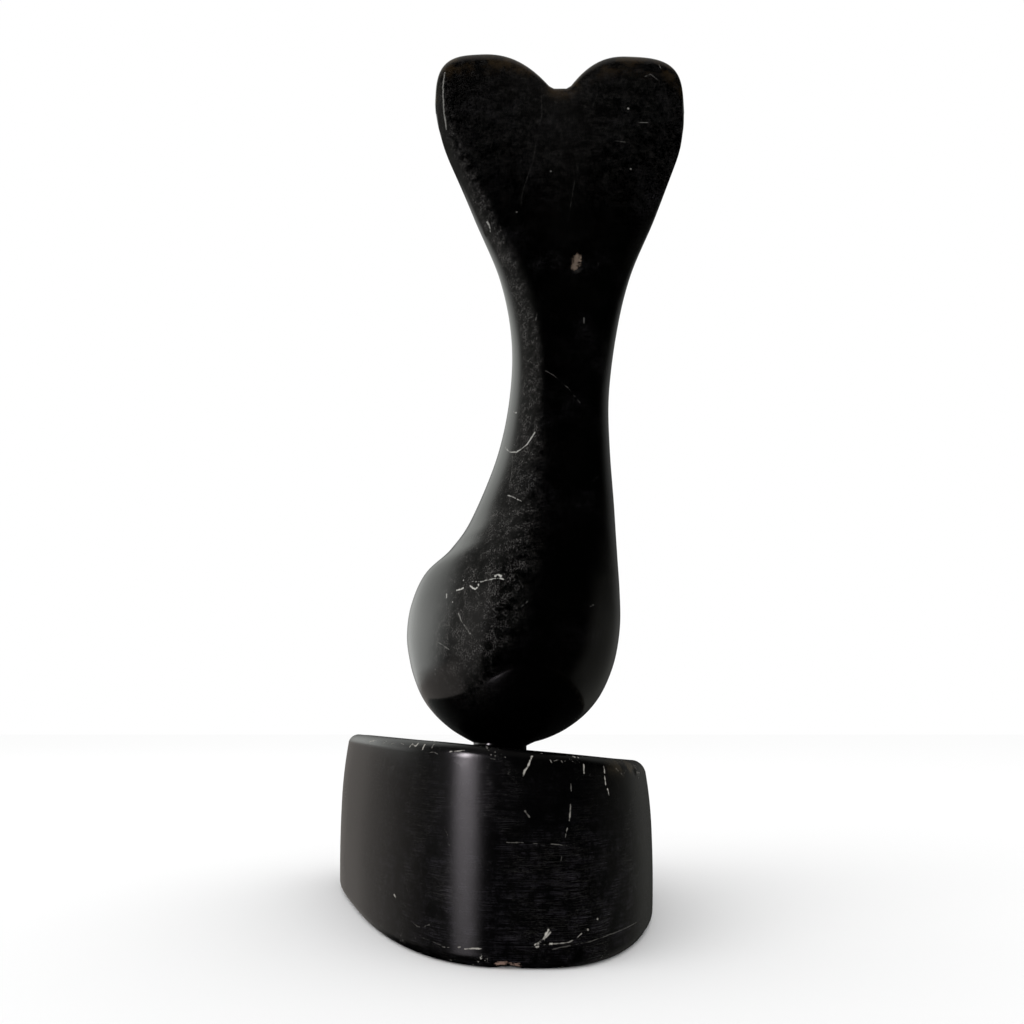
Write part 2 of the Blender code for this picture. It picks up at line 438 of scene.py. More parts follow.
class SharedEffects:
    """The effects that more than one finish uses, each built once as a node group."""

    def __init__(self) -> None:
        """Builds every group."""
        self.clouds = self._clouds()
        self.hairlines = self._hairlines()
        self.bruise = self._bruise()
        self.crumbs = self._crumbs()
        self.soft_window = self._soft_window()

    @staticmethod
    def _new(
        name: str, vectors: Sequence[str], numbers: Sequence[str], made: Sequence[str]
    ) -> tuple[Graph, Sockets, Sockets]:
        """Starts a group with named sockets.

        Args:
            name: name of the group.
            vectors: names of its vector inputs.
            numbers: names of its number inputs.
            made: names of its outputs, which are numbers.

        Returns:
            The graph, the sockets that bring values in, and the sockets that take them out.
        """
        tree = bpy.data.node_groups.new(name, "ShaderNodeTree")
        sockets = [(label, "INPUT", "NodeSocketVector") for label in vectors]
        sockets += [(label, "INPUT", "NodeSocketFloat") for label in numbers]
        sockets += [(label, "OUTPUT", "NodeSocketFloat") for label in made]
        for label, side, kind in sockets:
            tree.interface.new_socket(label, in_out=side, socket_type=kind)
        graph = Graph(tree)
        return graph, graph.add("NodeGroupInput").outputs, graph.add("NodeGroupOutput").inputs

    def _clouds(self) -> bpy.types.NodeTree:
        """Clouds of paler mineral, the speckle of grains in them, and the wisps of wear and painted sheen.

        Returns:
            The group.
        """
        graph, given, made = self._new(
            "stone_clouds", ("Vector",), ("Cloud Size", "Grain Size"), ("Clouds", "Grain", "Wisps")
        )
        cloud_scale = graph.math("DIVIDE", 1.0, given["Cloud Size"])
        grain_scale = graph.math("DIVIDE", 1.0, given["Grain Size"])
        broad = graph.noise(given["Vector"], cloud_scale, 8.0, 0.74)
        fine = graph.noise(given["Vector"], grain_scale, 3.0, 0.65)
        curdled = graph.noise(given["Vector"], graph.times(cloud_scale, 5.5), 5.0, 0.78)
        graph.feed(made["Clouds"], graph.ramp(broad, 0.50, 0.76))
        graph.feed(made["Grain"], graph.ramp(fine, 0.46, 0.70))
        graph.feed(made["Wisps"], graph.ramp(curdled, 0.40, 0.68))
        return graph.tree

    def _hairlines(self) -> bpy.types.NodeTree:
        """Fine scratches from rubbing, as the thin places where two stretched clouds cross 0.5.

        Returns:
            The group.
        """
        numbers = ("Thinness", "Coverage")
        graph, given, made = self._new("rubbing_hairlines", ("Vector", "Place"), numbers, ("Lines",))
        lines = []
        for turn in (0.0, 4.0):
            turned = graph.stretched(given["Vector"], (1.0, 1.0, 1.0), (turn, turn, 0.0))
            away = graph.apart(graph.noise(turned, 1.0, 3.0, 0.6), 0.5)
            lines.append(graph.ramp(graph.times(away, given["Thinness"]), 1.0, 0.0))
        patches = graph.noise(given["Place"], 90.0, 4.0, 0.65)
        shown = graph.ramp(graph.total(patches, given["Coverage"]), 0.94, 1.16)
        graph.feed(made["Lines"], graph.times(graph.math("MAXIMUM", *lines), shown))
        return graph.tree

    def _bruise(self) -> bpy.types.NodeTree:
        """A pale line from one place to another, ragged in width.

        The mask falls from whiteness to nothing as the distance to the line grows from a third
        of the ragged half width to all of it.

        Returns:
            The group.
        """
        graph, given, made = self._new(
            "bruised_line", ("Vector", "Start", "End"), ("Ragged", "Width", "Whiteness"), ("Mask",)
        )
        along = graph.vector("SUBTRACT", given["End"], given["Start"])
        reach = graph.vector("SUBTRACT", given["Vector"], given["Start"])
        progress = graph.vector("DOT_PRODUCT", reach, along)
        share = graph.math("DIVIDE", progress, graph.vector("DOT_PRODUCT", along, along))
        share = graph.math("MINIMUM", graph.math("MAXIMUM", share, 0.0), 1.0)
        gap = graph.vector("LENGTH", graph.vector("SUBTRACT", reach, graph.scaled(along, share)))
        half = graph.times(given["Width"], given["Ragged"])
        graph.feed(made["Mask"], graph.ramp(gap, half, graph.times(half, 0.35), 0.0, given["Whiteness"]))
        return graph.tree

    def _crumbs(self) -> bpy.types.NodeTree:
        """Crumbled, paler places along a worn edge.

        Returns:
            The group.
        """
        graph, given, made = self._new(
            "worn_edge_crumbs", ("Vector",), ("Edge", "Crumb Size", "Amount"), ("Mask",)
        )
        scale = graph.math("DIVIDE", 1.0, given["Crumb Size"])
        fine = graph.noise(given["Vector"], scale, 4.0, 0.7)
        patches = graph.noise(given["Vector"], graph.times(scale, 0.16), 2.0, 0.5)
        level = graph.total(fine, graph.times(patches, 0.9), given["Amount"])
        graph.feed(made["Mask"], graph.times(graph.ramp(level, 1.12, 1.24), given["Edge"]))
        return graph.tree

    def _soft_window(self) -> bpy.types.NodeTree:
        """A soft-edged patch of light in the surroundings, placed by direction.

        The direction is turned so that the patch faces the front, and the mask is the product
        of a smooth step in bearing and a smooth step in elevation.

        Returns:
            The group.
        """
        angles = ("Bearing", "Elevation", "Half Width", "Half Height", "Blur")
        graph, given, made = self._new("soft_window", ("Direction",), angles, ("Mask",))
        turn = (None, None, graph.times(given["Bearing"], -1.0))
        turned = graph.add("ShaderNodeVectorRotate", given["Direction"], *turn, rotation_type="Z_AXIS")
        x, y, z = graph.parts(turned.outputs[0])
        aside = graph.math("ABSOLUTE", graph.math("ARCTAN2", x, graph.times(y, -1.0)))
        above = graph.apart(graph.math("ARCSINE", z), given["Elevation"])
        half_blur = graph.times(given["Blur"], 0.5)
        masks = []
        for distance, half in ((aside, given["Half Width"]), (above, given["Half Height"])):
            outer = graph.total(half, half_blur)
            inner = graph.math("SUBTRACT", half, half_blur)
            masks.append(graph.ramp(distance, outer, inner))
        graph.feed(made["Mask"], graph.times(*masks))
        return graph.tree


# Finishes


class Rubbing(Enum):
    """Which way the rubbing down of a stone ran, as the scale of its hairlines along X, Y and Z."""

    UP_AND_DOWN = (1500.0, 1500.0, 110.0)
    LEVEL = (120.0, 120.0, 3600.0)


@dataclass(frozen=True)
class StoneFinish:
    """Black soapstone, polished by hand and worn.

    ground: colour of the dark stone
    cloud: colour of its paler clouds
    warm: colour of the base's iron stain, and the painted glow of light through the whale's thin fluke
    edge
    bruise: colour of the powder in a scratch
    dust_and_sheen: colour of the pale speckle, dust on worn stone and a painted sheen on the whale's left
    fresh: colour of fresh stone in a chip
    polish: roughness of the best polished places
    haze: how much the clouds and grains dull the polish
    rubbing: which way its rubbing ran
    shine: level of its reflections, 0.5 for clean polished stone
    scratched: how pale its rubbing hairlines are, from 0 to 1
    cloud_size, grain_size: sizes of its patterns in metres
    speckle_scale: scale of that pale speckle along X, Y and Z
    """

    name: str
    ground: Colour
    cloud: Colour
    warm: Colour
    bruise: Colour
    dust_and_sheen: Colour
    fresh: Colour
    polish: float
    haze: float
    rubbing: Rubbing
    shine: float
    scratched: float
    cloud_size: float
    grain_size: float
    speckle_scale: Place

    def material(
        self, effects: SharedEffects, scratches: Sequence[Mark], flakes: Sequence[Mark]
    ) -> bpy.types.Material:
        """Builds the finish. It reads what build methods store on the mesh: wear, a stain, a painted sheen
        and a painted glow.

        Args:
            effects: the shared node groups.
            scratches: pale scratches and spots.
            flakes: places where a flake has left fresh, warmer stone.

        Returns:
            The material.
        """
        material = bpy.data.materials.new(self.name)
        material.use_nodes = True
        graph = Graph(material.node_tree)
        shader = material.node_tree.nodes["Principled BSDF"]
        place = graph.add("ShaderNodeTexCoord").outputs["Object"]

        sizes = {"Cloud_Size": self.cloud_size, "Grain_Size": self.grain_size}
        cloud, grain, wisps = graph.shared(effects.clouds, Vector=place, **sizes)
        speckle = graph.times(cloud, grain)
        brushed = graph.stretched(place, self.rubbing.value)
        lines = graph.shared(effects.hairlines, Vector=brushed, Place=place, **HAIRLINES)[0]
        # On the whale this mask paints a sheen in the band down its left front: pale speckle, paler
        # hairlines and a rougher polish. On the base and the flukes it is real wear.
        sheen_and_wear = graph.attribute(SHEEN_AND_WEAR)
        speckle_noise = graph.noise(graph.stretched(place, self.speckle_scale), 1.0, 3.0, 0.7)
        dust_and_sheen_mask = graph.times(sheen_and_wear, wisps, graph.ramp(speckle_noise, 0.41, 0.74))
        edge = graph.attribute(WORN_EDGE)
        crumbs = graph.shared(effects.crumbs, Vector=place, Edge=edge, **CRUMBS)[0]
        # Warm colour: a stain on the base, and on the whale a painted glow of light through the thin fluke
        # edge.
        warm_noise = graph.ramp(graph.noise(place, 150.0, 4.0, 0.6), 0.42, 0.62)
        stain_and_glow = graph.times(graph.attribute(STAIN_AND_GLOW), warm_noise)
        pale = graph.math("MAXIMUM", self._bruises(graph, effects, place, scratches), crumbs)
        fresh = self._bruises(graph, effects, place, flakes)
        strength = graph.times(graph.ramp(sheen_and_wear, 0.0, 1.0, 0.3, 1.0), self.scratched)
        scratched = graph.times(lines, strength)

        colour = graph.blend(speckle, self.ground, self.cloud)
        layers = ((dust_and_sheen_mask, self.dust_and_sheen), (stain_and_glow, self.warm), (scratched, self.bruise))
        for mask, layer in (*layers, (pale, self.bruise), (fresh, self.fresh)):
            colour = graph.blend(mask, colour, layer)
        dulled = graph.total(
            graph.times(cloud, self.haze * 0.4),
            graph.times(speckle, self.haze * 0.6),
            graph.times(sheen_and_wear, self.haze * 0.4),
            graph.times(lines, 0.10),
            graph.times(graph.math("MAXIMUM", pale, fresh), 0.45),
        )
        uneven = graph.noise(place, 420.0, 3.0, 0.55)
        relief = graph.total(graph.times(grain, -0.25), graph.times(lines, -0.4), uneven)
        bump = graph.add("ShaderNodeBump", 1.0, RELIEF_DEPTH)
        graph.feed(bump.inputs["Height"], relief)
        for name, source in (
            ("Base Color", colour),
            ("Roughness", graph.math("ADD", dulled, self.polish, clamp=True)),
            ("Normal", bump.outputs[0]),
            ("IOR", REFRACTION_OF_STONE),
            ("Specular IOR Level", self.shine),
        ):
            graph.feed(shader.inputs[name], source)
        return material

    @staticmethod
    def _bruises(graph: Graph, effects: SharedEffects, place: Socket, lines: Sequence[Mark]) -> Socket:
        """Draws every mark as a chain of bruised lines and keeps the palest at each place.

        Args:
            graph: the material's graph.
            effects: the shared node groups.
            place: the place on the stone.
            lines: the marks.

        Returns:
            How pale the stone is there, from 0 to 1.
        """
        ragged = graph.ramp(graph.noise(place, 1300.0, 2.0, 0.6), 0.3, 0.7, 0.40, 0.80)
        drift = graph.add("ShaderNodeTexNoise", place, None, 420.0)
        shift = graph.vector("SUBTRACT", drift.outputs["Color"], (0.5, 0.5, 0.5))
        wandering = graph.vector("ADD", place, graph.scaled(shift, WANDERING))
        palest = graph.times(ragged, 0.0)
        for mark in lines:
            points = [tuple(c * MILLIMETRE for c in point) for point in mark.points]
            for start, end in zip(points[:-1] or points, points[1:] or points):
                line = graph.shared(
                    effects.bruise,
                    Vector=wandering,
                    Ragged=ragged,
                    Start=start,
                    End=end,
                    Width=mark.width * MILLIMETRE,
                    Whiteness=mark.whiteness,
                )
                palest = graph.math("MAXIMUM", palest, line[0])
        return palest


WHALE_STONE = StoneFinish(
    name="polished_soapstone",
    ground=(0.0003, 0.0003, 0.0003, 1.0),
    cloud=(0.0180, 0.0168, 0.0188, 1.0),
    # This warm colour paints the glow of light through the flukes' thin top edge.
    warm=(0.020, 0.013, 0.006, 1.0),
    bruise=(0.46, 0.45, 0.42, 1.0),
    # The pale speckle colour here is a painted sheen in the band down the whale's left front.
    dust_and_sheen=(0.125, 0.118, 0.113, 1.0),
    fresh=(0.20, 0.145, 0.105, 1.0),
    polish=0.10,
    haze=0.22,
    rubbing=Rubbing.UP_AND_DOWN,
    shine=0.5,
    scratched=0.030,
    cloud_size=0.017,
    grain_size=0.0005,
    speckle_scale=(2600.0, 2600.0, 2400.0),
)
BASE_STONE = StoneFinish(
    name="rubbed_soapstone",
    ground=(0.0006, 0.0006, 0.0007, 1.0),
    cloud=(0.0055, 0.0050, 0.0065, 1.0),
    warm=(0.030, 0.024, 0.015, 1.0),
    bruise=(0.44, 0.42, 0.38, 1.0),
    dust_and_sheen=(0.024, 0.022, 0.027, 1.0),
    fresh=(0.36, 0.24, 0.19, 1.0),
    polish=0.21,
    haze=0.03,
    rubbing=Rubbing.LEVEL,
    shine=0.12,
    scratched=0.045,
    cloud_size=0.020,
    grain_size=0.0006,
    speckle_scale=(130.0, 130.0, 6800.0),
)

WHALE_MARKS = marks(
    # neck: an arc, the dots under it, a short crack and a nick
    (0.6, 0.75, (1.8, -16.6, 131.7), (3.0, -20.1, 129.1), (3.7, -21.6, 128.1), (5.5, -24.1, 127.1),
     (7.0, -25.5, 127.6), (8.8, -26.6, 128.8), (10.0, -26.9, 130.5), (11.0, -27.1, 132.2)),
    (0.32, 0.45, (4.2, -22.9, 126.6), (4.3, -24.6, 122.7), (3.9, -26.0, 118.5), (3.3, -27.7, 113.0)),
    (0.4, 0.6, (3.0, -27.6, 112.4), (4.7, -29.5, 111.2), (5.8, -30.6, 110.2), (6.9, -31.6, 109.4)),
    (0.55, 0.6, (4.6, -16.9, 143.5), (5.5, -18.8, 142.3)),
    # head: a scratch with its hook, dash and spots
    (0.45, 0.8, (-6.7, -30.6, 86.4), (-5.3, -32.0, 86.1), (-4.2, -32.9, 85.9), (-2.7, -34.1, 86.1),
     (-1.3, -35.0, 86.1), (0.6, -36.2, 86.3), (2.0, -37.1, 85.7)),
    (0.8, 1.0, (-0.4, -35.5, 86.9), (0.5, -35.9, 87.3), (1.1, -36.4, 86.7)),
    (0.5, 1.0, (-7.4, -30.2, 85.2), (-6.6, -31.1, 84.4), (-5.9, -31.8, 84.0), (-5.0, -32.6, 84.6),
     (-5.1, -32.3, 85.3)),
    (0.5, 1.0, (-11.4, -26.3, 84.7), (-10.3, -27.4, 84.7), (-9.4, -28.3, 84.9)),
    (0.5, 0.8, (-9.4, -27.7, 87.3)),
    (0.5, 0.8, (-14.6, -22.6, 84.4), (-14.5, -22.9, 83.2)),
    (0.6, 0.8, (-12.5, -25.7, 81.4)),
    (0.5, 0.9, (-17.6, -19.8, 63.2), (-17.6, -19.3, 62.0)),
    # head: a vein, a loop beside it and a short line
    (0.42, 0.36, (-10.6, -28.2, 77.8), (-9.7, -29.3, 75.5), (-8.2, -30.8, 73.3), (-6.6, -32.1, 71.3),
     (-4.9, -33.2, 69.0), (-3.5, -33.9, 67.5), (-2.5, -34.3, 66.4)),
    (0.36, 0.2, (-18.1, -19.9, 71.3), (-16.6, -21.9, 70.5), (-15.2, -23.6, 69.7), (-13.7, -25.3, 68.5),
     (-12.4, -26.7, 67.5), (-11.1, -27.9, 67.1), (-9.7, -29.2, 66.7), (-8.3, -30.5, 67.8),
     (-8.2, -30.7, 69.3), (-9.5, -29.6, 71.2)),
    (0.35, 0.12, (6.7, -39.7, 77.8), (8.6, -40.2, 79.5)),
    # flukes: a long line on each, spots, dashes and scuffs
    (0.35, 0.03, (37.1, -10.5, 277.5), (35.0, -11.0, 271.4), (33.0, -11.6, 265.4), (30.9, -12.2, 259.0),
     (29.7, -13.0, 251.0), (28.5, -13.8, 243.3), (27.5, -14.3, 238.1), (26.4, -14.9, 232.5),
     (24.9, -16.0, 223.3), (23.4, -17.4, 213.3)),
    (0.35, 0.025, (15.3, -10.4, 274.8), (15.4, -11.4, 265.4), (14.0, -12.3, 258.3), (13.1, -13.0, 251.5),
     (12.4, -13.5, 246.0), (11.2, -14.0, 239.9), (9.6, -14.4, 234.3), (8.0, -14.7, 228.5),
     (7.2, -15.2, 221.4)),
    (0.7, 0.25, (5.8, -15.0, 219.9)),
    (0.7, 0.25, (18.1, -14.4, 237.4)),
    (0.9, 0.5, (47.5, -10.9, 268.4)),
    (0.7, 0.35, (46.9, -12.8, 239.8)),
    (0.45, 0.2, (51.0, -11.0, 262.1), (54.6, -10.5, 262.5)),
    (0.4, 0.08, (41.6, -12.6, 252.2), (45.8, -12.2, 252.1)),
    (0.5, 0.12, (55.0, -9.0, 285.5), (57.2, -8.6, 287.1), (60.5, -8.4, 284.0)),
    (0.45, 0.35, (61.0, -7.6, 292.9), (62.1, -7.8, 288.9)),
    # round the chip on the tail
    (0.4, 0.12, (27.0, -18.5, 205.0), (26.4, -19.1, 200.9)),
    (0.5, 0.1, (33.5, -18.2, 198.7), (33.2, -18.5, 195.6)),
    (0.5, 0.15, (27.4, -22.5, 173.6), (27.3, -22.8, 171.6)),
    # left edge: a small chip, and a painted highlight along the rounded edge of the left fluke
    (0.7, 0.5, (-4.5, -10.8, 218.8), (-3.9, -11.0, 217.6), (-3.5, -10.8, 214.9)),
    (0.75, 0.34, (-21.8, -6.4, 290.1), (-22.3, -6.3, 284.3), (-22.0, -6.5, 277.5), (-21.5, -6.6, 270.8),
     (-20.4, -6.8, 263.1)),
    # tail stock and right flank: a line, a forked vein and two ticks
    (0.35, 0.2, (12.5, -20.4, 177.2), (11.8, -20.3, 173.9), (11.0, -20.2, 170.1)),
    (0.35, 0.08, (14.7, -24.6, 153.9), (16.4, -25.5, 152.5), (17.9, -26.1, 150.8), (19.2, -26.6, 149.1),
     (20.1, -26.8, 148.1), (21.5, -27.0, 146.9), (23.1, -27.2, 144.5), (24.9, -27.0, 142.1)),
    (0.35, 0.08, (27.1, -24.6, 153.9), (28.8, -23.8, 153.9), (30.4, -22.6, 154.4), (32.1, -20.9, 155.6),
     (34.2, -18.2, 157.6)),
    (0.35, 0.1, (27.5, -30.2, 115.4), (28.8, -28.8, 117.1), (30.1, -27.2, 118.7)),
    (0.4, 0.25, (25.0, -38.2, 78.0), (26.4, -37.4, 79.0)),
)
WHALE_FLAKES = marks(
    # the chip's face and its bright side
    (2.7, 0.5, (26.2, -19.4, 198.7), (25.6, -19.8, 196.5), (25.1, -20.1, 194.3)),
    (1.2, 1.0, (27.1, -19.4, 198.4), (27.0, -19.7, 196.2), (26.0, -20.2, 193.5)),
)
BASE_MARKS = marks(
    # streaks and zigzags over the front rim
    (0.5, 0.85, (8.7, -61.7, 41.5), (8.3, -62.3, 40.5), (7.8, -62.6, 39.4), (7.0, -62.7, 38.3),
     (6.6, -62.8, 37.2)),
    (0.28, 0.6, (12.4, -61.7, 41.1), (13.1, -62.2, 40.1)),
    (0.32, 0.4, (13.6, -61.9, 40.5), (14.3, -61.6, 40.7), (15.0, -61.5, 40.7), (15.4, -61.7, 40.1),
     (16.0, -61.3, 40.5)),
    (0.38, 0.6, (20.2, -59.7, 39.6), (20.2, -60.1, 38.8), (20.2, -60.3, 37.8)),
    (0.26, 0.35, (18.9, -61.0, 37.8), (18.3, -61.5, 36.2)),
    (0.28, 0.1, (21.8, -59.1, 38.5), (21.6, -59.5, 36.7), (21.3, -60.0, 34.9)),
    (0.45, 0.75, (25.2, -55.7, 39.0), (25.3, -56.0, 38.2), (25.3, -56.2, 36.9), (25.4, -56.3, 35.2)),
    (0.5, 0.8, (25.8, -56.0, 34.1), (26.1, -55.9, 32.9)),
    # crumbled right corner
    (0.45, 0.22, (28.5, -51.7, 38.4), (29.3, -50.8, 37.7), (30.4, -49.3, 36.7), (31.5, -47.0, 37.7)),
    (0.45, 0.22, (33.3, -43.0, 37.9), (34.6, -40.5, 36.9), (35.2, -39.4, 36.0)),
    # crumbs and arcs on the left rim
    (0.5, 0.5, (-35.7, -17.3, 43.8), (-33.8, -21.1, 44.1), (-32.2, -24.2, 44.3)),
    (0.36, 0.5, (-29.4, -31.2, 43.5), (-28.3, -32.3, 44.1)),
    (0.36, 0.35, (-26.5, -36.5, 43.6), (-24.6, -39.1, 44.0)),
    (0.3, 0.25, (-23.6, -40.5, 44.0), (-22.3, -43.2, 43.5)),
    (0.48, 0.65, (-20.3, -46.4, 43.1), (-19.8, -46.4, 43.8), (-18.7, -48.4, 43.2), (-18.2, -48.2, 43.8)),
    (0.6, 0.75, (-16.6, -51.2, 42.7), (-16.2, -50.6, 43.7)),
    (0.4, 0.25, (-14.2, -53.3, 43.0), (-13.9, -52.8, 43.7)),
    (0.22, 0.25, (-14.7, -53.5, 41.9), (-13.7, -54.4, 42.1), (-12.7, -55.4, 41.7)),
    (0.3, 0.6, (-9.7, -57.5, 42.2), (-8.4, -58.2, 42.4), (-7.1, -58.8, 42.5), (-6.4, -59.1, 42.6)),
    # specks and a line by the whale's foot
    (0.4, 0.35, (-0.3, -61.4, 41.8)),
    (0.5, 0.35, (0.6, -61.7, 41.6)),
    (0.26, 0.12, (-0.5, -61.7, 41.0), (0.8, -62.0, 40.8), (2.0, -62.2, 40.5), (3.4, -62.4, 39.9)),
    # broken upright scratch, from its top down
    (0.3, 0.18, (17.1, -61.9, 35.7), (17.2, -62.0, 34.3)),
    (0.4, 0.45, (17.0, -62.3, 32.0), (16.9, -62.4, 30.8), (16.8, -62.5, 29.9), (16.6, -62.6, 28.4)),
    (0.32, 0.4, (16.2, -62.8, 27.4), (15.9, -62.9, 26.1), (15.6, -63.0, 24.9)),
    (0.28, 0.18, (15.2, -63.1, 23.6), (14.9, -63.2, 21.9), (14.5, -63.2, 20.5)),
    # white spot, level scratch and dashes, squiggle
    (0.45, 0.22, (7.1, -63.3, 30.3), (7.7, -63.3, 29.6), (8.1, -63.4, 29.1)),
    (0.26, 0.16, (3.2, -63.3, 24.2), (7.4, -63.5, 24.0), (11.9, -63.5, 23.9), (16.2, -62.9, 23.4)),
    (0.2, 0.25, (-4.9, -61.4, 17.9), (-3.1, -62.1, 18.1), (-1.4, -62.5, 18.3)),
    (0.2, 0.15, (-13.2, -56.0, 13.7), (-11.1, -57.7, 13.9), (-9.3, -59.0, 14.0)),
    (0.3, 0.3, (-10.4, -58.4, 26.1), (-9.9, -58.7, 25.2), (-9.6, -58.9, 24.4), (-10.3, -58.5, 23.7),
     (-9.3, -59.1, 23.0)),
    # spot and arc low on the left
    (0.5, 0.8, (-23.1, -43.9, 10.4), (-22.6, -44.6, 10.0)),
    (0.3, 0.18, (-18.1, -50.4, 6.3), (-16.5, -52.2, 5.7), (-15.1, -53.7, 5.9), (-13.6, -55.2, 6.7)),
    # scuff near the floor: its strokes, arc and dots
    (0.55, 1.0, (9.0, -62.9, 4.7), (10.0, -62.9, 5.0), (10.7, -62.9, 5.8), (11.0, -63.0, 6.4),
     (11.8, -63.0, 7.6)),
    (0.4, 0.7, (10.7, -62.9, 4.9), (11.0, -62.9, 6.0), (12.2, -63.0, 7.1)),
    (0.5, 0.9, (9.3, -62.8, 4.3), (10.7, -62.9, 4.7), (11.4, -62.9, 4.9), (12.4, -62.8, 5.0)),
    (0.3, 0.45, (12.5, -62.8, 5.0), (14.2, -62.6, 4.9), (16.0, -62.3, 5.1), (17.5, -61.9, 5.7),
     (18.7, -61.4, 6.5)),
    (0.5, 0.45, (20.2, -60.8, 7.1)),
    (0.6, 0.7, (22.3, -59.5, 8.7)),
    # dashes and lines along the floor
    (0.3, 0.45, (-10.5, -57.5, 3.1), (-8.9, -58.6, 3.3)),
    (0.35, 0.6, (-6.9, -59.8, 3.6), (-6.4, -60.0, 3.7)),
    (0.35, 0.8, (-5.5, -60.4, 3.4), (-3.8, -61.1, 3.7), (-2.0, -61.7, 3.8)),
    (0.25, 0.1, (-15.3, -53.3, 3.9), (-12.8, -55.7, 3.6), (-10.5, -57.5, 3.2)),
    (0.25, 0.1, (12.2, -62.8, 3.9), (17.0, -62.0, 4.6), (19.6, -60.9, 4.8), (22.4, -59.1, 4.9),
     (25.2, -56.6, 5.2), (28.4, -52.7, 5.2), (33.0, -45.0, 5.1)),
)
BASE_FLAKES = marks(
    # chip at the floor
    (1.6, 1.0, (1.4, -61.5, 0.6), (3.3, -61.8, 0.7), (5.2, -61.8, 0.6)),
)
# Painted sheen band down the whale's left front, which gets pale speckle, paler hairlines and a rougher
# polish.
PAINTED_SHEEN_BAND = (
    # level share, middle angle, half width in degrees, strength
    (0.03, 250.0, 14.0, 0.0),
    (0.07, 240.0, 20.0, 0.5),
    (0.11, 244.0, 24.0, 0.9),
    (0.19, 250.0, 24.0, 0.9),
    (0.27, 247.0, 18.0, 0.8),
    (0.40, 237.0, 13.0, 1.0),
    (0.49, 229.0, 12.0, 1.0),
    (0.55, 215.0, 14.0, 1.0),
    (0.64, 209.0, 13.0, 0.9),
    (0.80, 201.0, 10.0, 0.7),
    (0.95, 199.0, 10.0, 0.5),
)
WHALE_CHIPS = (
    Chip((25.7, -19.8, 195.9), (2.3, 2.5, 4.2), 0.45),
    Chip((-4.5, -10.1, 216.0), (1.8, 2.0, 2.0), 0.30),
    Chip((5.8, -15.0, 219.9), (1.2, 1.6, 1.2), 0.12),
    Chip((0.6, -36.1, 86.9), (1.6, 1.6, 1.0), 0.12),
)
BASE_CHIPS = (
    Chip((3.3, -61.4, 0.4), (3.2, 2.0, 1.6), 0.50),
    Chip((34.3, -40.3, 37.2), (1.8, 1.6, 1.4), 0.30),
    Chip((10.8, -62.9, 5.0), (1.6, 1.2, 1.6), 0.15),
)


# Pieces


